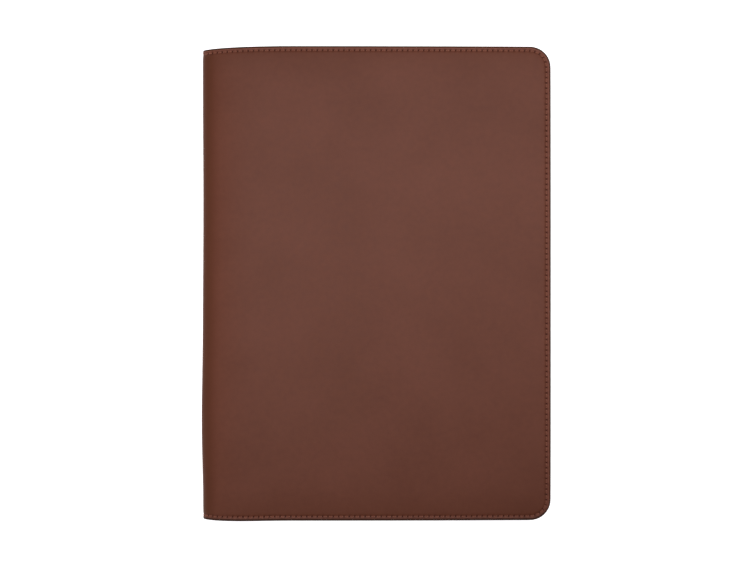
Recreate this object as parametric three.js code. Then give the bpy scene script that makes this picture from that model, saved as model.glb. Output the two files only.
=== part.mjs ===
// A closed leather document case for A4 papers, lying on its back cover.
//
// One hide makes the front cover, the spine and the back cover, folded like the cover of a
// book. A thinner lining lies inside it and is sewn to it all round, close to the edge.
// The case opens at the fore-edge, and its head and tail are open too.
//
// Millimetres. +X runs from the spine to the fore-edge, +Y from the tail to the head and
// +Z up. The origin lies under the middle of the case, on the surface that it lies on.

import * as THREE from "three";
import { mergeVertices } from "three/addons/utils/BufferGeometryUtils.js";

// The closed case
const caseWidth = 237; // from the spine's outermost line to the fore-edge
const caseHeight = 320; // from the tail to the head
const caseThickness = 18; // up to the highest line of the front cover
const foreEdgeHeight = 16; // up to the front cover's face at the fore-edge

// The leather and the lining
const hideThickness = 1.6;
const liningThickness = 1.0;
const layerGap = 0.3; // between the hide and the lining
const edgeRounding = 0.7; // how far the dressed edge is rounded off

// The cut of the sheet
const cornerRadius = 13.7; // at the four corners of the fore-edges
const spineRelief = 0.6; // how far the spine draws in at its head and its tail when folded
const spineShift = 0.9; // how far the spine has slipped towards the tail
const shiftReach = 60; // how far from the spine the covers have slipped with it

// How the covers lie
const shoulderWidth = 42; // from the spine's outermost line to where the front cover is flat
const endDroop = 1.8; // how far the front cover falls at its head and its tail

// The spine's section. Lengths are shares of the case's thickness.
const spineSection = {
  noseHeight: 0.34, // of the outermost line above the back cover's face
  noseRadius: 0.31, // above the outermost line
  noseTurn: THREE.MathUtils.degToRad(52), // that the nose turns before the shoulder starts
  shoulderStart: 0.36, // how long the shoulder keeps the direction that it starts in
};

// How long the shoulder and the front cover keep the direction of each end, as shares of
// their own lengths, and how much of the front cover's fall its last stretch takes
const shoulderEnd = 0.58;
const coverBend = { start: 0.42, end: 0.36, lastFall: 0.8 };

// The droop of the front cover starts late, past the papers inside, and grows quickly
const droopPower = 8;

// Places where the spine's leather stands out or falls in. Place and reach are shares of
// the case's height, and out is a share of its thickness.
const spineWaves = [
  { place: -0.29, reach: 0.13, out: 0.044 },
  { place: 0.17, reach: 0.16, out: -0.017 },
  { place: -0.45, reach: 0.08, out: -0.019 },
];

// How finely the sheet is divided
const cornerSteps = 6;
const coverSteps = 9;
const footSteps = 6;
const noseSteps = 5;
const shoulderSteps = 9;
const rowSteps = 20;

// A rounded edge takes no more than this share of its own layer
const mostRounding = 0.7;

const wavePeak = Math.max(...spineWaves.map((wave) => wave.out)) * caseThickness;
const spineX = wavePeak - caseWidth / 2;
const foreX = caseWidth / 2;
const noseHeight = caseThickness * spineSection.noseHeight;
const noseRadius = caseThickness * spineSection.noseRadius;

// The outer face of the hide in the X-Z plane, in stretches: from the back cover's
// fore-edge, round the spine, to the front cover's fore-edge
function foldStretches() {
  const turn = spineSection.noseTurn;
  const noseEnd = new THREE.Vector2(
    spineX + noseRadius * (1 - Math.cos(turn)),
    noseHeight + noseRadius * Math.sin(turn),
  );
  const noseDirection = new THREE.Vector2(Math.sin(turn), Math.cos(turn));
  const coverStart = new THREE.Vector2(spineX + shoulderWidth, caseThickness);
  const coverEnd = new THREE.Vector2(foreX, foreEdgeHeight);
  const coverLength = coverEnd.x - coverStart.x;
  const coverFall = caseThickness - foreEdgeHeight;
  return {
    back: new THREE.LineCurve(
      new THREE.Vector2(foreX, 0),
      new THREE.Vector2(spineX + noseHeight, 0),
    ),
    foot: new THREE.EllipseCurve(
      spineX + noseHeight, noseHeight, noseHeight, noseHeight,
      -Math.PI / 2, -Math.PI, true,
    ),
    nose: new THREE.EllipseCurve(
      spineX + noseRadius, noseHeight, noseRadius, noseRadius,
      Math.PI, Math.PI - turn, true,
    ),
    shoulder: new THREE.CubicBezierCurve(
      noseEnd,
      noseEnd.clone().addScaledVector(noseDirection, caseThickness * spineSection.shoulderStart),
      new THREE.Vector2(coverStart.x - shoulderWidth * shoulderEnd, caseThickness),
      coverStart,
    ),
    front: new THREE.CubicBezierCurve(
      coverStart,
      new THREE.Vector2(coverStart.x + coverLength * coverBend.start, caseThickness),
      new THREE.Vector2(
        coverEnd.x - coverLength * coverBend.end,
        foreEdgeHeight + coverFall * coverBend.lastFall,
      ),
      coverEnd,
    ),
  };
}

const fold = foldStretches();

// Where the stations of a cover lie. Each row gives the distance from the fore-edge and how
// much shorter than half the height the sheet is cut there. The whole outline is drawn in
// by inset.
function coverStations(length, inset) {
  const rows = [];
  const radius = cornerRadius - inset;
  for (let k = 0; k <= cornerSteps; k++) {
    const turn = ((k / cornerSteps) * Math.PI) / 2;
    rows.push({
      distance: inset + radius * (1 - Math.cos(turn)),
      cut: inset + radius * (1 - Math.sin(turn)),
    });
  }
  for (let k = 1; k <= coverSteps; k++) {
    rows.push({
      distance: cornerRadius + ((length - cornerRadius) * k) / coverSteps,
      cut: inset,
    });
  }
  return rows;
}

// One station of the sheet: a point of the hide's outer face with its inward direction.
// onSpine is 1 at the spine's outermost line and falls to 0 at the covers, and onFront is 1
// on the front cover and falls to 0 at the spine.
function station(curve, share, cut, onSpine, onFront) {
  const point = curve.getPointAt(share);
  const along = curve.getTangentAt(share);
  return { point, inward: new THREE.Vector2(along.y, -along.x), cut, onSpine, onFront };
}

// All the stations, from the back cover's fore-edge to the front cover's
function sheetStations(inset) {
  const ease = (share) => THREE.MathUtils.smoothstep(share, 0, 1);
  const list = [];
  const backLength = fold.back.getLength();
  for (const { distance, cut } of coverStations(backLength, inset)) {
    list.push(station(fold.back, distance / backLength, cut, 0, 0));
  }
  for (let k = 1; k <= footSteps; k++) {
    const share = k / footSteps;
    list.push(station(fold.foot, share, inset, ease(share), 0));
  }
  for (let k = 1; k <= noseSteps; k++) {
    list.push(station(fold.nose, k / noseSteps, inset, 1, 0));
  }
  for (let k = 1; k <= shoulderSteps; k++) {
    const share = k / shoulderSteps;
    list.push(station(fold.shoulder, share, inset, 1 - ease(share), ease(share)));
  }
  const frontLength = fold.front.getLength();
  const frontStations = coverStations(frontLength, inset).reverse();
  for (const { distance, cut } of frontStations.slice(1)) {
    list.push(station(fold.front, 1 - distance / frontLength, cut, 0, 1));
  }
  return list;
}

// How far the spine stands out at a height on the case
function spineWave(y) {
  let out = 0;
  for (const wave of spineWaves) {
    const away = (y / caseHeight - wave.place) / wave.reach;
    out += wave.out * caseThickness * Math.exp(-away * away);
  }
  return out;
}

// How far the sheet has slipped towards the tail at a distance from the spine. Half of it
// is taken off everywhere, so that the case stays centred.
function slip(fromSpine) {
  const share = THREE.MathUtils.smoothstep(1 - fromSpine / shiftReach, 0, 1);
  return spineShift * (share - 0.5);
}

// A point of the folded sheet. Across runs from -1 at the tail to 1 at the head, and depth
// is measured inwards from the hide's outer face.
function foldedPoint(at, across, depth) {
  const half = caseHeight / 2;
  const relief = spineRelief * at.onSpine * Math.abs(across);
  const y = across * (half - at.cut - relief) - slip(at.point.x - spineX);
  const droop = endDroop * at.onFront * Math.pow(Math.abs(y) / half, droopPower);
  return new THREE.Vector3(
    at.point.x + at.inward.x * depth - spineWave(y) * at.onSpine,
    y,
    at.point.y + at.inward.y * depth - droop,
  );
}

const OUTER_FACE = 1;
const INNER_FACE = -1;

// One layer of the case: a flat box of the sheet's stations and rows, folded into place.
// Its rows crowd together towards the head and the tail. The edge of the face named by
// dressedFace is rounded off.
function foldedSheet(outerDepth, thickness, dressedFace) {
  const rounding = Math.min(edgeRounding, thickness * mostRounding);
  const whole = sheetStations(0);
  const drawnIn = sheetStations(rounding);
  const depthOf = {
    [OUTER_FACE]: 0,
    0: dressedFace === OUTER_FACE ? rounding : thickness - rounding,
    [INNER_FACE]: thickness,
  };
  const box = new THREE.BoxGeometry(whole.length - 1, 2, 2, whole.length - 1, rowSteps, 2);
  box.translate((whole.length - 1) / 2, 0, 0);
  box.deleteAttribute("normal");
  box.deleteAttribute("uv");
  const position = box.getAttribute("position");
  const flat = new THREE.Vector3();
  for (let v = 0; v < position.count; v++) {
    flat.fromBufferAttribute(position, v);
    const face = Math.round(flat.z);
    const at = (face === dressedFace ? drawnIn : whole)[Math.round(flat.x)];
    const across = Math.sin((flat.y * Math.PI) / 2);
    const folded = foldedPoint(at, across, outerDepth + depthOf[face]);
    position.setXYZ(v, folded.x, folded.y, folded.z);
  }
  const sheet = mergeVertices(box);
  sheet.computeVertexNormals();
  return sheet;
}

const coverLeather = new THREE.MeshStandardMaterial({
  color: 0x6b463b,
  roughness: 0.5,
  metalness: 0,
});
const liningLeather = new THREE.MeshStandardMaterial({
  color: 0x5c3c31,
  roughness: 0.8,
  metalness: 0,
});

const cover = new THREE.Mesh(foldedSheet(0, hideThickness, OUTER_FACE), coverLeather);
cover.name = "cover";

const lining = new THREE.Mesh(
  foldedSheet(hideThickness + layerGap, liningThickness, INNER_FACE),
  liningLeather,
);
lining.name = "lining";

const documentCase = new THREE.Group();
documentCase.add(cover, lining);

export default documentCase;
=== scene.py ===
import bisect
import math

import bmesh
import bpy
from mathutils import Matrix, Vector, geometry, kdtree, noise


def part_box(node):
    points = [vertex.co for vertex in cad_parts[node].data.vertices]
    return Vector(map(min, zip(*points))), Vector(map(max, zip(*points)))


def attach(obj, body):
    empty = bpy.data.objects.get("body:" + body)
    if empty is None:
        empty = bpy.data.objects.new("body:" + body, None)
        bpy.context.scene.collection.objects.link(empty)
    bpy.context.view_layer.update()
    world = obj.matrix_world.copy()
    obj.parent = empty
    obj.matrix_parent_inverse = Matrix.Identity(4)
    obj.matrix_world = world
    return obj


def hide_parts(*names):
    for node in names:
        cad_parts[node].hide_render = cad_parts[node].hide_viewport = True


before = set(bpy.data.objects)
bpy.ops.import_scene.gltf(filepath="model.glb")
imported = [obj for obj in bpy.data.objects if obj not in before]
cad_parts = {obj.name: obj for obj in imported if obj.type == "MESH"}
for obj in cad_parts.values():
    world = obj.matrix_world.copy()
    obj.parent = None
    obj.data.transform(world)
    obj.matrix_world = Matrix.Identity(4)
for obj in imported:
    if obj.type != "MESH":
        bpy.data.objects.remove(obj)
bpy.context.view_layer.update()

METRES = 0.001
_, cover_high = (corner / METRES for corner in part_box("cover"))

# The closed case, in millimetres
FORE_X = cover_high.x
HEIGHT = 320.0
THICKNESS = cover_high.z
FORE_EDGE_HEIGHT = 16.0
HIDE_THICKNESS = 1.6
LAYER_GAP = 0.3
LINING_THICKNESS = 1.0
CORNER_RADIUS = 13.7
SPINE_RELIEF = 0.6
SPINE_SHIFT = 0.9
SHIFT_REACH = 60.0
SHOULDER_WIDTH = 42.0
END_DROOP = 1.8
DROOP_POWER = 8

# The spine's section, as shares of the thickness, and its turn
NOSE_HEIGHT = 0.34 * THICKNESS
NOSE_RADIUS = 0.31 * THICKNESS
NOSE_TURN = math.radians(52)
SHOULDER_START = 0.36 * THICKNESS
SHOULDER_END = 0.58 * SHOULDER_WIDTH
COVER_BEND = {"start": 0.42, "end": 0.36, "last_fall": 0.8}

# How many steps each stretch of the section is divided into
SECTION_STEPS = 120

# Where the spine's leather stands out or falls in. Place and reach are shares of the
# height, and out is a share of the thickness.
SPINE_WAVES = (
    {"place": -0.29, "reach": 0.13, "out": 0.044},
    {"place": 0.17, "reach": 0.16, "out": -0.017},
    {"place": -0.45, "reach": 0.08, "out": -0.019},
)
SPINE_X = max(wave["out"] for wave in SPINE_WAVES) * THICKNESS - FORE_X

# The front cover isn't perfectly flat: long, low ripples
RIPPLE_HEIGHT = 0.12
RIPPLE_LENGTH = 70.0

# The seam: how far in from the cut edge it runs, how far apart its needle holes are, how
# many stitches turn a corner, and how many steps of the outline go to a stitch
SEAM_INSET = 2.65
STITCH_PITCH = 3.6
CORNER_STITCHES = 5
STEPS_PER_STITCH = 4

# How the leather is pressed down beside the seam. The first column is the distance from
# the cut edge and the second the height of the leather there.
PRESSED_EDGE = (
    (0.00, -0.52),
    (0.15, -0.34),
    (0.35, -0.26),
    (0.65, -0.20),
    (1.00, -0.14),
    (1.40, -0.11),
    (1.85, -0.14),
    (2.20, -0.20),
    (2.45, -0.27),
    (2.65, -0.29),
    (2.85, -0.27),
    (3.15, -0.21),
    (3.65, -0.13),
    (4.50, -0.06),
    (5.80, -0.02),
    (7.50, 0.00),
)

# Each needle hole pulls the leather in, but a share of the thickness is always left
NEEDLE_HOLE = {"depth": 0.75, "radius": 0.78}
LEAST_LEATHER = 0.3

# The thread: how much of the pitch a stitch takes, its radius, how it slants across the
# seam, and how deep its middle line lies under the leather's face
STITCH_SHARE = 0.84
THREAD_RADIUS = 0.30
THREAD_SLANT = math.radians(3)
THREAD_DEPTH = 0.36

# A stitch is thickest in its middle, thins towards its ends and is wider than it is high,
# as factors of the thread's radius. Its ends dip by a length.
STITCH_FORM = {"middle": 1.08, "thinning": 0.28, "widening": 1.12, "dip": 0.85}

# The leather is paler from the cut edge up to the seam, as far in as the first length, and
# takes its own tone again over the second. The share is how far it turns pale.
PALE_MARGIN = (2.6, 1.0)
PALE_SHARE = 0.68

# The leather's colour carries painted shade where the spine rolls away from the light: the
# darkening grows over the first length before the spine's nose and fades over the second past
# it. Painted shade also darkens the tail and the head, where the light falls off: their shares
# of that darkening fade over a length from the edge.
SPINE_PAINTED_SHADE = (4.0, 13.0)
ENDS_PAINTED_SHADE = {"tail": 0.3, "head": 0.2, "fade": 24.0}

# Painted shade on the leather's face beside the cut at the tail, where the edge rolls away
# from the light: how far in it reaches there, over how long a stretch it fades, and how far
# from the tail it starts
TAIL_EDGE_SHADE = {"reach": 0.9, "fade": 0.9, "start": 12.0}

# The painted edge: how far it stands proud of the cut, how far it laps over the face, how
# much its rims are rounded, how far it is sunk under the faces, and how many steps of its
# outline go to a stitch
PAINT_PROUD = 0.3
PAINT_LAP = 0.65
PAINT_ROUNDING = 0.6
PAINT_SUNK = 0.10
PAINT_STEPS_PER_STITCH = 2

# The hide is drawn thicker inwards, down to this far above the lining
LAYERS_APART = 0.05

# Every step of the outline divides the field of a sheet as far before the spine as the
# first length and as far past it as the second. Every other step does so from a longer
# way before the spine up to the end of the shoulder.
FINE_ROUND_SPINE = (2.0, 4.0)
HALF_FINE_BEFORE = 8.0

# The hidden face of a sheet is divided only at one in so many rows of the shown face
HIDDEN_ROWS = 4

# A point this close to a cut counts as lying on it
CUT_TOLERANCE = 0.01

# The floor, in metres: how far it reaches to each side, and how far it is under the case
FLOOR_REACH = 3.0
FLOOR_DROP = 0.0003

# The photograph, in pixels, and the camera straight above the case. The lens is as long
# as the case's outline in the photograph asks for at that height.
PHOTO_WIDTH = 753
PHOTO_CENTRE = Vector((376.5, 282.5))
CASE_CENTRE = Vector((375.0, 284.0))
CAMERA_HEIGHT = 737.0
FOCAL_PIXELS = 1068.3
SENSOR_WIDTH = 36.0


def ease(share):
    """Smooth step from 0 to 1"""
    share = min(max(share, 0.0), 1.0)
    return share * share * (3 - 2 * share)


def arc_points(centre, radius, start, end, steps):
    """Points on an arc in the X-Z plane"""
    angles = (start + (end - start) * k / steps for k in range(steps + 1))
    return [centre + radius * Vector((math.cos(a), math.sin(a))) for a in angles]


def fold_section(steps):
    """The hide's outer face in the X-Z plane, as rows of point, share of spine and share of
    front, from the back cover's fore-edge round the spine to the front cover's fore-edge"""
    nose_end = Vector((
        SPINE_X + NOSE_RADIUS * (1 - math.cos(NOSE_TURN)),
        NOSE_HEIGHT + NOSE_RADIUS * math.sin(NOSE_TURN),
    ))
    nose_direction = Vector((math.sin(NOSE_TURN), math.cos(NOSE_TURN)))
    cover_start = Vector((SPINE_X + SHOULDER_WIDTH, THICKNESS))
    cover_end = Vector((FORE_X, FORE_EDGE_HEIGHT))
    length = cover_end.x - cover_start.x
    fall = THICKNESS - FORE_EDGE_HEIGHT
    back = [
        Vector((FORE_X + (SPINE_X + NOSE_HEIGHT - FORE_X) * k / steps, 0.0))
        for k in range(steps + 1)
    ]
    foot_centre = Vector((SPINE_X + NOSE_HEIGHT, NOSE_HEIGHT))
    foot = arc_points(foot_centre, NOSE_HEIGHT, -math.pi / 2, -math.pi, steps)
    nose_centre = Vector((SPINE_X + NOSE_RADIUS, NOSE_HEIGHT))
    nose = arc_points(nose_centre, NOSE_RADIUS, math.pi, math.pi - NOSE_TURN, steps)
    shoulder = geometry.interpolate_bezier(
        nose_end,
        nose_end + nose_direction * SHOULDER_START,
        cover_start - Vector((SHOULDER_END, 0.0)),
        cover_start,
        steps + 1,
    )
    front = geometry.interpolate_bezier(
        cover_start,
        cover_start + Vector((length * COVER_BEND["start"], 0.0)),
        Vector((
            cover_end.x - length * COVER_BEND["end"],
            FORE_EDGE_HEIGHT + fall * COVER_BEND["last_fall"],
        )),
        cover_end,
        steps + 1,
    )
    rows = [(point, 0.0, 0.0) for point in back]
    rows += [(point, ease(k / steps), 0.0) for k, point in enumerate(foot)][1:]
    rows += [(point, 1.0, 0.0) for point in nose[1:]]
    for k, point in enumerate(shoulder[1:], start=1):
        rows.append((point, 1 - ease(k / steps), ease(k / steps)))
    rows += [(point, 0.0, 1.0) for point in front[1:]]
    return rows


SECTION = fold_section(SECTION_STEPS)
SECTION_AT = [0.0]
for before, after in zip(SECTION, SECTION[1:]):
    SECTION_AT.append(SECTION_AT[-1] + (after[0] - before[0]).length)
FLAT_LENGTH = SECTION_AT[-1]
SPINE_FROM = (FORE_X - SPINE_X) - NOSE_HEIGHT
SPINE_TO = SPINE_FROM + NOSE_HEIGHT * math.pi / 2 + NOSE_RADIUS * NOSE_TURN
FRONT_FROM = SPINE_TO + SHOULDER_WIDTH


def section_direction(k):
    """The direction of the section at one of its points, taken over its neighbours"""
    before = SECTION[max(k - 1, 0)][0]
    after = SECTION[min(k + 1, len(SECTION) - 1)][0]
    return (after - before).normalized()


def spine_wave(y):
    """How far the spine stands out at a height on the case"""
    out = 0.0
    for wave in SPINE_WAVES:
        away = (y / HEIGHT - wave["place"]) / wave["reach"]
        out += wave["out"] * THICKNESS * math.exp(-away * away)
    return out


def slip(from_spine):
    """How far the sheet has slipped towards the tail at a distance from the spine"""
    return SPINE_SHIFT * (ease(1 - from_spine / SHIFT_REACH) - 0.5)


def fold(flat):
    """Where a point of the flat pattern lies on the folded case, in metres"""
    k = min(max(bisect.bisect_right(SECTION_AT, flat.x) - 1, 0), len(SECTION) - 2)
    share = (flat.x - SECTION_AT[k]) / (SECTION_AT[k + 1] - SECTION_AT[k])
    inside = min(max(share, 0.0), 1.0)
    point = SECTION[k][0].lerp(SECTION[k + 1][0], inside)
    direction = section_direction(k).lerp(section_direction(k + 1), inside).normalized()
    point += direction * (share - inside) * (SECTION_AT[k + 1] - SECTION_AT[k])
    outward = Vector((-direction.y, direction.x))
    on_spine = SECTION[k][1] + (SECTION[k + 1][1] - SECTION[k][1]) * inside
    on_front = SECTION[k][2] + (SECTION[k + 1][2] - SECTION[k][2]) * inside
    across = flat.y / (HEIGHT / 2)
    relief = SPINE_RELIEF * on_spine * across * abs(across)
    y = flat.y - relief - slip(point.x - SPINE_X)
    droop = END_DROOP * on_front * abs(2 * y / HEIGHT) ** DROOP_POWER
    ripple = RIPPLE_HEIGHT * on_front * noise.noise(flat.xy.to_3d() / RIPPLE_LENGTH)
    return METRES * Vector((
        point.x + outward.x * flat.z - spine_wave(y) * on_spine,
        y,
        point.y + outward.y * flat.z - droop + ripple,
    ))


def edge_distance(x, y):
    """How far a point of the flat pattern is inside the cut edge"""
    beyond = Vector((
        abs(x - FLAT_LENGTH / 2) - (FLAT_LENGTH / 2 - CORNER_RADIUS),
        abs(y) - (HEIGHT / 2 - CORNER_RADIUS),
    ))
    outside = Vector((max(beyond.x, 0.0), max(beyond.y, 0.0))).length
    return CORNER_RADIUS - outside - min(max(beyond.x, beyond.y), 0.0)


def pressed_height(distance):
    """The height of the leather's face at a distance from the cut edge"""
    if distance >= PRESSED_EDGE[-1][0]:
        return PRESSED_EDGE[-1][1]
    k = max(bisect.bisect_right(PRESSED_EDGE, (distance, 1.0)) - 1, 0)
    (near, low), (far, high) = PRESSED_EDGE[k], PRESSED_EDGE[k + 1]
    return low + (high - low) * (max(distance, 0.0) - near) / (far - near)


def stitches_along(length):
    """How many stitches fit a straight side"""
    return round((length - 2 * CORNER_RADIUS) / STITCH_PITCH)


def seam_holes():
    """The needle holes of the seam on the flat pattern, anticlockwise from the tail"""
    turn_radius = CORNER_RADIUS - SEAM_INSET
    half = Vector((FLAT_LENGTH / 2 - CORNER_RADIUS, HEIGHT / 2 - CORNER_RADIUS))
    middle = Vector((FLAT_LENGTH / 2, 0.0))
    sides = (
        (Vector((-half.x, -half.y)), Vector((half.x, -half.y)), -math.pi / 2),
        (Vector((half.x, -half.y)), Vector((half.x, half.y)), 0.0),
        (Vector((half.x, half.y)), Vector((-half.x, half.y)), math.pi / 2),
        (Vector((-half.x, half.y)), Vector((-half.x, -half.y)), math.pi),
    )
    holes = []
    for start, end, facing in sides:
        outward = Vector((math.cos(facing), math.sin(facing))) * turn_radius
        count = round((end - start).length / STITCH_PITCH)
        for k in range(count):
            holes.append(middle + start.lerp(end, k / count) + outward)
        for k in range(CORNER_STITCHES):
            angle = facing + k / CORNER_STITCHES * math.pi / 2
            turned = Vector((math.cos(angle), math.sin(angle))) * turn_radius
            holes.append(middle + end + turned)
    return holes


HOLES = seam_holes()
HOLE_TREE = kdtree.KDTree(len(HOLES))
for number, hole in enumerate(HOLES):
    HOLE_TREE.insert(hole.to_3d(), number)
HOLE_TREE.balance()


def needle_pull(x, y):
    """How strongly the nearest needle hole pulls the leather in, from 0 to 1"""
    away = HOLE_TREE.find(Vector((x, y, 0.0)))[2] / NEEDLE_HOLE["radius"]
    return math.exp(-away * away)


def outline_face(bm, grow, steps_per_stitch):
    """The sheet's flat outline as one face, drawn out by grow, with its sides divided in
    step with the stitches"""
    size = Matrix.Diagonal((FLAT_LENGTH + 2 * grow, HEIGHT + 2 * grow, 1, 1))
    place = Matrix.Translation((FLAT_LENGTH / 2, 0, 0))
    bmesh.ops.create_grid(bm, x_segments=1, y_segments=1, size=0.5, matrix=place @ size)
    bmesh.ops.bevel(
        bm, geom=bm.verts[:], offset=CORNER_RADIUS + grow, offset_type="OFFSET",
        segments=CORNER_STITCHES * steps_per_stitch, profile=0.5, affect="VERTICES",
        material=-1,
    )
    sides = sorted(bm.edges, key=lambda edge: -edge.calc_length())[:4]
    for edge in sides:
        cuts = round(edge.calc_length() / STITCH_PITCH) * steps_per_stitch - 1
        bmesh.ops.subdivide_edges(bm, edges=[edge], cuts=cuts)
    bm.faces.ensure_lookup_table()
    return bm.faces[0]


def slab(bm, grow, steps_per_stitch, thickness):
    """A flat slab of the sheet's outline. Returns its lower and its upper face."""
    lower = outline_face(bm, grow, steps_per_stitch)
    raised = bmesh.ops.extrude_face_region(bm, geom=[lower])["geom"]
    upper = next(item for item in raised if isinstance(item, bmesh.types.BMFace))
    bmesh.ops.translate(bm, vec=(0, 0, thickness), verts=upper.verts)
    bmesh.ops.recalc_face_normals(bm, faces=bm.faces)
    return lower, upper


def divide(bm, faces, axis, stations):
    """Cuts flat faces at the stations along X (0) or Y (1), and returns all the parts"""
    done = []
    rest = list(faces)
    normal = Vector((1 - axis, axis, 0))
    for at in stations:
        edges = {edge for face in rest for edge in face.edges}
        verts = {vert for face in rest for vert in face.verts}
        cut = bmesh.ops.bisect_plane(
            bm, geom=[*rest, *edges, *verts], dist=CUT_TOLERANCE, plane_co=normal * at,
            plane_no=normal,
        )
        parts = [item for item in cut["geom"] if isinstance(item, bmesh.types.BMFace)]
        done += [face for face in parts if face.calc_center_median()[axis] < at]
        rest = [face for face in parts if face.calc_center_median()[axis] >= at]
    return done + rest


def field_stations(every):
    """Where the field of a sheet is divided: along X, more closely round the spine, and
    along Y. Each station meets two points of the sheet's outline."""
    along_count = stitches_along(FLAT_LENGTH) * STEPS_PER_STITCH
    along_step = (FLAT_LENGTH - 2 * CORNER_RADIUS) / along_count
    up_count = stitches_along(HEIGHT) * STEPS_PER_STITCH
    up_step = (HEIGHT - 2 * CORNER_RADIUS) / up_count
    before, past = FINE_ROUND_SPINE
    along = []
    for k in range(1, along_count):
        at = CORNER_RADIUS + k * along_step
        round_spine = SPINE_FROM - before < at < SPINE_TO + past
        on_shoulder = SPINE_FROM - HALF_FINE_BEFORE < at < FRONT_FROM
        if k % every == 0 or round_spine or (on_shoulder and k % 2 == 0):
            along.append(at)
    up = [CORNER_RADIUS - HEIGHT / 2 + k * up_step for k in range(every, up_count, every)]
    return along, up


def leather_layer(name, depth, thickness, face_side):
    """One layer of the case. depth is its outer face's under the hide's outer face, and
    face_side is 1 if the seam shows on its outer face and -1 if it shows on its inner one."""
    bm = bmesh.new()
    hidden, shown = slab(bm, 0.0, STEPS_PER_STITCH, thickness)
    before = 0.0
    for distance, _ in PRESSED_EDGE[1:]:
        bmesh.ops.inset_region(
            bm, faces=[shown], thickness=distance - before, use_even_offset=True,
            use_boundary=True,
        )
        before = distance
    along, up = field_stations(STEPS_PER_STITCH)
    divide(bm, divide(bm, [shown], 0, along), 1, up)
    divide(bm, divide(bm, [hidden], 0, along), 1, up[HIDDEN_ROWS - 1::HIDDEN_ROWS])
    margin = bm.verts.layers.float.new("margin")
    pull_and_hole_shade = bm.verts.layers.float.new("pull_and_hole_shade")
    painted_shade = bm.verts.layers.float.new("painted_shade")
    tail_edge_shade = bm.verts.layers.float.new("tail_edge_shade")
    flat_map = bm.loops.layers.uv.new("flat")
    # Painted shade: how much the colour darkens along the spine's roll and towards the tail
    # and head
    grows, fades = SPINE_PAINTED_SHADE
    for vert in bm.verts:
        x, y, z = vert.co
        on_spine = ease((x - SPINE_FROM) / grows) * (1 - ease((x - SPINE_TO) / fades))
        on_end = 1 - ease((HEIGHT / 2 - abs(y)) / ENDS_PAINTED_SHADE["fade"])
        on_end *= ENDS_PAINTED_SHADE["tail" if y < 0 else "head"]
        vert[painted_shade] = max(on_spine, on_end)
        if z > thickness / 2:
            distance = edge_distance(x, y)
            # The pull shapes the dip round each needle hole and also sets the painted shade
            # there
            vert[pull_and_hole_shade] = needle_pull(x, y)
            vert[margin] = 1 - ease((distance - PALE_MARGIN[0]) / PALE_MARGIN[1])
            # Painted shade beside the cut at the tail
            at_tail = 1 - ease((y + HEIGHT / 2) / TAIL_EDGE_SHADE["start"])
            past = (distance - TAIL_EDGE_SHADE["reach"]) / TAIL_EDGE_SHADE["fade"]
            vert[tail_edge_shade] = at_tail * (1 - ease(past))
            z += pressed_height(distance) - NEEDLE_HOLE["depth"] * vert[pull_and_hole_shade]
            vert.co.z = max(z, thickness * LEAST_LEATHER)
    for face in bm.faces:
        face.smooth = True
        for loop in face.loops:
            loop[flat_map].uv = loop.vert.co.xy * METRES
    for vert in bm.verts:
        x, y, z = vert.co
        vert.co.z = z - thickness - depth if face_side > 0 else -depth - z
    if face_side < 0:
        bmesh.ops.reverse_faces(bm, faces=bm.faces)
    return fold_into_place(bm, name)


def fold_into_place(bm, name):
    """Folds a flat piece and makes it an object at the origin"""
    for vert in bm.verts:
        vert.co = fold(vert.co)
    mesh = bpy.data.meshes.new(name)
    bm.to_mesh(mesh)
    bm.free()
    piece = bpy.data.objects.new(name, mesh)
    bpy.context.collection.objects.link(piece)
    return piece


def painted_edge():
    """A rounded bead of edge paint round the cut edges of both layers"""
    bm = bmesh.new()
    top = -PAINT_SUNK
    bottom = PAINT_SUNK - HIDE_THICKNESS - LAYER_GAP - LINING_THICKNESS
    ends = slab(bm, PAINT_PROUD, PAINT_STEPS_PER_STITCH, top - bottom)
    rims = [edge for face in ends for edge in face.edges]
    for face in ends:
        bmesh.ops.inset_region(
            bm, faces=[face], thickness=PAINT_PROUD + PAINT_LAP, use_even_offset=True,
            use_boundary=True,
        )
    inner = [edge for face in ends for edge in face.edges]
    bmesh.ops.delete(bm, geom=list(ends), context="FACES_ONLY")
    bmesh.ops.bridge_loops(bm, edges=inner)
    bmesh.ops.bevel(
        bm, geom=rims, offset=PAINT_ROUNDING, offset_type="OFFSET", segments=4,
        profile=0.5, affect="EDGES", material=-1,
    )
    bmesh.ops.translate(bm, vec=(0, 0, bottom), verts=bm.verts)
    bmesh.ops.recalc_face_normals(bm, faces=bm.faces)
    for face in bm.faces:
        face.smooth = True
    return fold_into_place(bm, "edge_paint")


def stitch_mesh():
    """One stitch along X: a thread that rises from a needle hole and dips into the next"""
    bm = bmesh.new()
    length = STITCH_PITCH * STITCH_SHARE
    bmesh.ops.create_cone(
        bm, cap_ends=True, segments=8, radius1=THREAD_RADIUS, radius2=THREAD_RADIUS,
        depth=length, matrix=Matrix.Rotation(math.pi / 2, 4, "Y"),
    )
    long_edges = [edge for edge in bm.edges if edge.calc_length() > length / 2]
    bmesh.ops.subdivide_edges(bm, edges=long_edges, cuts=6)
    twist_map = bm.loops.layers.uv.new("flat")
    for face in bm.faces:
        face.smooth = True
        for loop in face.loops:
            x, y, z = loop.vert.co
            loop[twist_map].uv = (x * METRES, math.atan2(y, z) * THREAD_RADIUS * METRES)
    for vert in bm.verts:
        share = abs(vert.co.x) / (length / 2)
        vert.co.yz = vert.co.yz * (STITCH_FORM["middle"] - STITCH_FORM["thinning"] * share**4)
        vert.co.y *= STITCH_FORM["widening"]
        vert.co.z -= STITCH_FORM["dip"] * share**5
    mesh = bpy.data.meshes.new("one_stitch")
    bm.to_mesh(mesh)
    bm.free()
    return mesh


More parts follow.
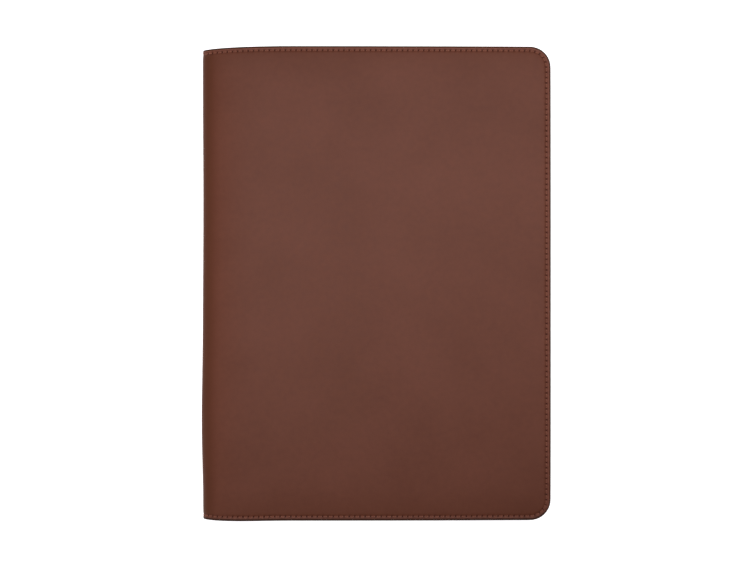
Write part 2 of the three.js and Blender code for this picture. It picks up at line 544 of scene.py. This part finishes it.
def seam(name, height, face_side):
    """All the stitches on the outside (1) or the inside (-1), lying at a height"""
    bm = bmesh.new()
    one = stitch_mesh()
    for start, end in zip(HOLES, HOLES[1:] + HOLES[:1]):
        along = end - start
        angle = math.atan2(along.y, along.x) + THREAD_SLANT
        middle = (start + end) / 2
        place = Matrix.Translation(middle.to_3d()) @ Matrix.Rotation(angle, 4, "Z")
        known = len(bm.verts)
        bm.from_mesh(one)
        bm.verts.ensure_lookup_table()
        bmesh.ops.transform(bm, matrix=place, verts=bm.verts[known:])
    bpy.data.meshes.remove(one)
    for vert in bm.verts:
        vert.co.z = height + vert.co.z * face_side
    if face_side < 0:
        bmesh.ops.reverse_faces(bm, faces=bm.faces)
    return fold_into_place(bm, name)


def linear(colour):
    """An sRGB hex colour as linear red, green, blue and alpha"""
    parts = [int(colour[k:k + 2], 16) / 255 for k in (1, 3, 5)]
    return [c / 12.92 if c <= 0.04045 else ((c + 0.055) / 1.055) ** 2.4 for c in parts] + [1.0]


def add(tree, kind, inputs=None, **settings):
    """Adds a node. inputs gives a socket, by name or number, a value or another's output."""
    node = tree.nodes.new(kind)
    for name, value in settings.items():
        setattr(node, name, value)
    for key, value in (inputs or {}).items():
        if isinstance(value, bpy.types.NodeSocket):
            tree.links.new(value, node.inputs[key])
        else:
            node.inputs[key].default_value = value
    return node


# The numbers of a colour mix's sockets
MIX_A = 6
MIX_B = 7
MIX_RESULT = 2


def new_material(name):
    """A material with an empty node tree"""
    material = bpy.data.materials.new(name)
    material.use_nodes = True
    material.node_tree.nodes.clear()
    return material, material.node_tree


def blend_colours(tree, factor, first, second, kind="MIX"):
    """One colour over another by a factor"""
    mixed = add(
        tree, "ShaderNodeMix", {0: factor, MIX_A: first, MIX_B: second},
        data_type="RGBA", blend_type=kind,
    )
    return mixed.outputs[MIX_RESULT]


def dyed_calf_leather():
    """Full-grain calf, drum-dyed brown and lightly polished: a smooth face whose tone
    drifts slowly, with a fine grain and a paler pressed margin. Painted shade darkens the
    needle holes, the spine's roll, the tail and the head, and the face beside the cut at the
    tail"""
    material, tree = new_material("dyed_calf_leather")
    flat = add(tree, "ShaderNodeUVMap", uv_map="flat").outputs["UV"]
    drift = add(
        tree, "ShaderNodeTexNoise",
        {"Vector": flat, "Scale": 1 / 0.045, "Detail": 4.0, "Roughness": 0.55},
    )
    mottle = add(
        tree, "ShaderNodeTexNoise",
        {"Vector": flat, "Scale": 1 / 0.004, "Detail": 3.0, "Roughness": 0.6},
    )
    # The grain's cells are taken to be 0.4 mm, and are drawn at 0.9 mm so that they show
    grain = add(
        tree, "ShaderNodeTexVoronoi",
        {"Vector": flat, "Scale": 1 / 0.0009, "Randomness": 1.0},
        feature="DISTANCE_TO_EDGE",
    )
    crease = add(
        tree, "ShaderNodeMapRange",
        {"Value": grain.outputs["Distance"], "From Min": 0.0, "From Max": 0.22},
        interpolation_type="SMOOTHSTEP",
    ).outputs["Result"]
    fine = add(
        tree, "ShaderNodeTexNoise",
        {"Vector": flat, "Scale": 1 / 0.0006, "Detail": 2.0},
    ).outputs["Fac"]
    margin = add(tree, "ShaderNodeAttribute", attribute_name="margin").outputs["Fac"]
    pull_and_hole_shade = add(tree, "ShaderNodeAttribute", attribute_name="pull_and_hole_shade").outputs["Fac"]
    painted_shade = add(tree, "ShaderNodeAttribute", attribute_name="painted_shade").outputs["Fac"]
    tail_edge_shade = add(tree, "ShaderNodeAttribute", attribute_name="tail_edge_shade").outputs["Fac"]
    tone = blend_colours(
        tree, drift.outputs["Fac"], linear("#6B3927"), linear("#7C4635"),
    )
    tone = blend_colours(tree, 0.16, tone, mottle.outputs["Fac"], "SOFT_LIGHT")
    # Painted shade: darker along the spine's roll and towards the tail and head
    tone = blend_colours(tree, painted_shade, tone, linear("#5F2E15"))
    pale = add(tree, "ShaderNodeMath", {0: margin, 1: PALE_SHARE}, operation="MULTIPLY")
    tone = blend_colours(tree, pale.outputs[0], tone, linear("#894F3E"))
    # Painted shade in and round the needle holes
    tone = blend_colours(tree, pull_and_hole_shade, tone, linear("#3A1007"))
    # Painted shade on the face beside the cut at the tail
    tone = blend_colours(tree, tail_edge_shade, tone, linear("#46271B"))
    grained = add(
        tree, "ShaderNodeMath", {0: crease, 1: 0.7, 2: fine}, operation="MULTIPLY_ADD",
    )
    height = add(
        tree, "ShaderNodeMath",
        {0: mottle.outputs["Fac"], 1: 2.5, 2: grained.outputs[0]}, operation="MULTIPLY_ADD",
    )
    bump = add(
        tree, "ShaderNodeBump",
        {"Strength": 0.35, "Distance": 0.00006, "Height": height.outputs[0]},
    )
    rough = add(
        tree, "ShaderNodeMapRange",
        {"Value": mottle.outputs["Fac"], "To Min": 0.54, "To Max": 0.64},
    )
    shader = add(
        tree, "ShaderNodeBsdfPrincipled",
        {
            "Base Color": tone,
            "Roughness": rough.outputs["Result"],
            "IOR": 1.46,
            "Specular IOR Level": 0.3,
            "Normal": bump.outputs["Normal"],
        },
    )
    add(tree, "ShaderNodeOutputMaterial", {"Surface": shader.outputs["BSDF"]})
    return material


def lining_leather():
    """Thin split leather, dyed a shade darker and left matt, with open pores"""
    material, tree = new_material("lining_split_leather")
    flat = add(tree, "ShaderNodeUVMap", uv_map="flat").outputs["UV"]
    cloud = add(
        tree, "ShaderNodeTexNoise", {"Vector": flat, "Scale": 1 / 0.02, "Detail": 5.0},
    ).outputs["Fac"]
    nap = add(
        tree, "ShaderNodeTexNoise", {"Vector": flat, "Scale": 1 / 0.0008, "Detail": 3.0},
    ).outputs["Fac"]
    pull_and_hole_shade = add(tree, "ShaderNodeAttribute", attribute_name="pull_and_hole_shade").outputs["Fac"]
    tone = blend_colours(tree, cloud, linear("#62382A"), linear("#744534"))
    # Painted shade in and round the needle holes
    tone = blend_colours(tree, pull_and_hole_shade, tone, linear("#2A120B"))
    bump = add(
        tree, "ShaderNodeBump", {"Strength": 0.5, "Distance": 0.0001, "Height": nap},
    )
    shader = add(
        tree, "ShaderNodeBsdfPrincipled",
        {
            "Base Color": tone,
            "Roughness": 0.82,
            "IOR": 1.45,
            "Normal": bump.outputs["Normal"],
        },
    )
    add(tree, "ShaderNodeOutputMaterial", {"Surface": shader.outputs["BSDF"]})
    return material


def edge_dye():
    """Dressed leather edge, painted dark brown and rubbed: a satin line that shows faint
    brush marks"""
    material, tree = new_material("painted_leather_edge")
    where = add(tree, "ShaderNodeTexCoord").outputs["Object"]
    strokes = add(
        tree, "ShaderNodeTexNoise", {"Vector": where, "Scale": 1 / 0.003, "Detail": 4.0},
    ).outputs["Fac"]
    tone = blend_colours(tree, strokes, linear("#3A1D12"), linear("#4C2B1E"))
    bump = add(
        tree, "ShaderNodeBump", {"Strength": 0.3, "Distance": 0.0001, "Height": strokes},
    )
    shader = add(
        tree, "ShaderNodeBsdfPrincipled",
        {
            "Base Color": tone,
            "Roughness": 0.55,
            "IOR": 1.5,
            "Specular IOR Level": 0.2,
            "Normal": bump.outputs["Normal"],
        },
    )
    add(tree, "ShaderNodeOutputMaterial", {"Surface": shader.outputs["BSDF"]})
    return material


def waxed_thread():
    """Twisted linen thread, waxed, dyed a touch lighter than the leather: its plies show
    as slanting ridges"""
    material, tree = new_material("waxed_linen_thread")
    flat = add(tree, "ShaderNodeUVMap", uv_map="flat").outputs["UV"]
    turned = add(
        tree, "ShaderNodeMapping",
        {"Vector": flat, "Rotation": (0.0, 0.0, math.radians(38))},
    ).outputs["Vector"]
    plies = add(
        tree, "ShaderNodeTexWave", {"Vector": turned, "Scale": 1 / 0.0045},
        wave_type="BANDS", bands_direction="X",
    ).outputs["Fac"]
    tone = blend_colours(tree, plies, linear("#824B38"), linear("#995D48"))
    bump = add(
        tree, "ShaderNodeBump", {"Strength": 0.6, "Distance": 0.0001, "Height": plies},
    )
    shader = add(
        tree, "ShaderNodeBsdfPrincipled",
        {
            "Base Color": tone,
            "Roughness": 0.55,
            "IOR": 1.5,
            "Specular IOR Level": 0.3,
            "Normal": bump.outputs["Normal"],
        },
    )
    add(tree, "ShaderNodeOutputMaterial", {"Surface": shader.outputs["BSDF"]})
    return material


def make_camera():
    """Straight above the case, at the photograph's scale"""
    camera = bpy.data.cameras.new("camera")
    camera.sensor_width = SENSOR_WIDTH
    camera.lens = FOCAL_PIXELS * SENSOR_WIDTH / PHOTO_WIDTH
    camera.clip_start = 0.01
    camera.clip_end = 20.0
    holder = bpy.data.objects.new("camera", camera)
    aside = (PHOTO_CENTRE - CASE_CENTRE) * CAMERA_HEIGHT / FOCAL_PIXELS
    holder.location = METRES * Vector((aside.x, -aside.y, CAMERA_HEIGHT))
    bpy.context.collection.objects.link(holder)
    bpy.context.scene.camera = holder


def make_strip_light(name, place, target, size, turn, spread, watts):
    """A long softbox that faces a point of the case, its length turned anticlockwise from
    the case's width. A grid before it narrows its spread, so that the light falls off
    towards the tail."""
    lamp = bpy.data.lights.new(name, "AREA")
    lamp.shape = "RECTANGLE"
    lamp.size, lamp.size_y = size
    lamp.spread = math.radians(spread)
    lamp.energy = watts
    holder = bpy.data.objects.new(name, lamp)
    backward = (Vector(place) - Vector(target)).normalized()
    angle = math.radians(turn)
    sideways = backward.cross(Vector((math.cos(angle), math.sin(angle), 0.0))).normalized()
    lengthways = sideways.cross(backward)
    facing = Matrix((lengthways, sideways, backward)).transposed().to_4x4()
    holder.matrix_world = Matrix.Translation(place) @ facing
    bpy.context.collection.objects.link(holder)


def make_studio():
    """A pale floor that glows, pale surroundings that darken overhead, and a long softbox
    above the head of the case"""
    bm = bmesh.new()
    bmesh.ops.create_grid(bm, x_segments=1, y_segments=1, size=FLOOR_REACH)
    bmesh.ops.translate(bm, vec=(0, 0, -FLOOR_DROP), verts=bm.verts)
    mesh = bpy.data.meshes.new("floor")
    bm.to_mesh(mesh)
    bm.free()
    floor = bpy.data.objects.new("floor", mesh)
    bpy.context.collection.objects.link(floor)
    material, tree = new_material("pale_light_table")
    shader = add(
        tree, "ShaderNodeBsdfPrincipled",
        {
            "Base Color": linear("#F4F4F4"),
            "Roughness": 0.9,
            "Emission Color": linear("#FFFFFF"),
            "Emission Strength": 0.85,
        },
    )
    add(tree, "ShaderNodeOutputMaterial", {"Surface": shader.outputs["BSDF"]})
    mesh.materials.append(material)

    world = bpy.data.worlds.new("surroundings")
    world.use_nodes = True
    world.node_tree.nodes.clear()
    tree = world.node_tree
    where = add(tree, "ShaderNodeTexCoord").outputs["Generated"]
    height = add(tree, "ShaderNodeSeparateXYZ", {"Vector": where}).outputs["Z"]
    glow = add(
        tree, "ShaderNodeMapRange",
        {"Value": height, "From Max": 0.45, "To Min": 0.95, "To Max": 0.05},
        interpolation_type="SMOOTHSTEP",
    ).outputs["Result"]
    sky = add(
        tree, "ShaderNodeBackground", {"Color": linear("#FFFFFF"), "Strength": glow},
    )
    add(tree, "ShaderNodeOutputWorld", {"Surface": sky.outputs["Background"]})
    bpy.context.scene.world = world
    make_strip_light(
        "key", (0.0, 0.20, 1.20), (-0.025, 0.057, 0.0), size=(1.2, 0.5), turn=15, spread=50,
        watts=1.60,
    )


def dress(piece, material):
    """Gives a piece its finish, and lets it ride on the case's one body"""
    piece.data.materials.append(material)
    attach(piece, "root")


bpy.context.scene.view_settings.view_transform = "Standard"
make_camera()
make_studio()

lining_depth = HIDE_THICKNESS + LAYER_GAP
cover = leather_layer("cover_hide", 0.0, lining_depth - LAYERS_APART, 1)
lining = leather_layer("lining_skin", lining_depth, LINING_THICKNESS, -1)
edge_paint = painted_edge()
outer_seam = seam("seam_outside", -THREAD_DEPTH, 1)
inner_seam = seam("seam_inside", THREAD_DEPTH - lining_depth - LINING_THICKNESS, -1)

dress(cover, dyed_calf_leather())
dress(lining, lining_leather())
dress(edge_paint, edge_dye())
thread = waxed_thread()
dress(outer_seam, thread)
dress(inner_seam, thread)
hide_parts("cover")
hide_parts("lining")
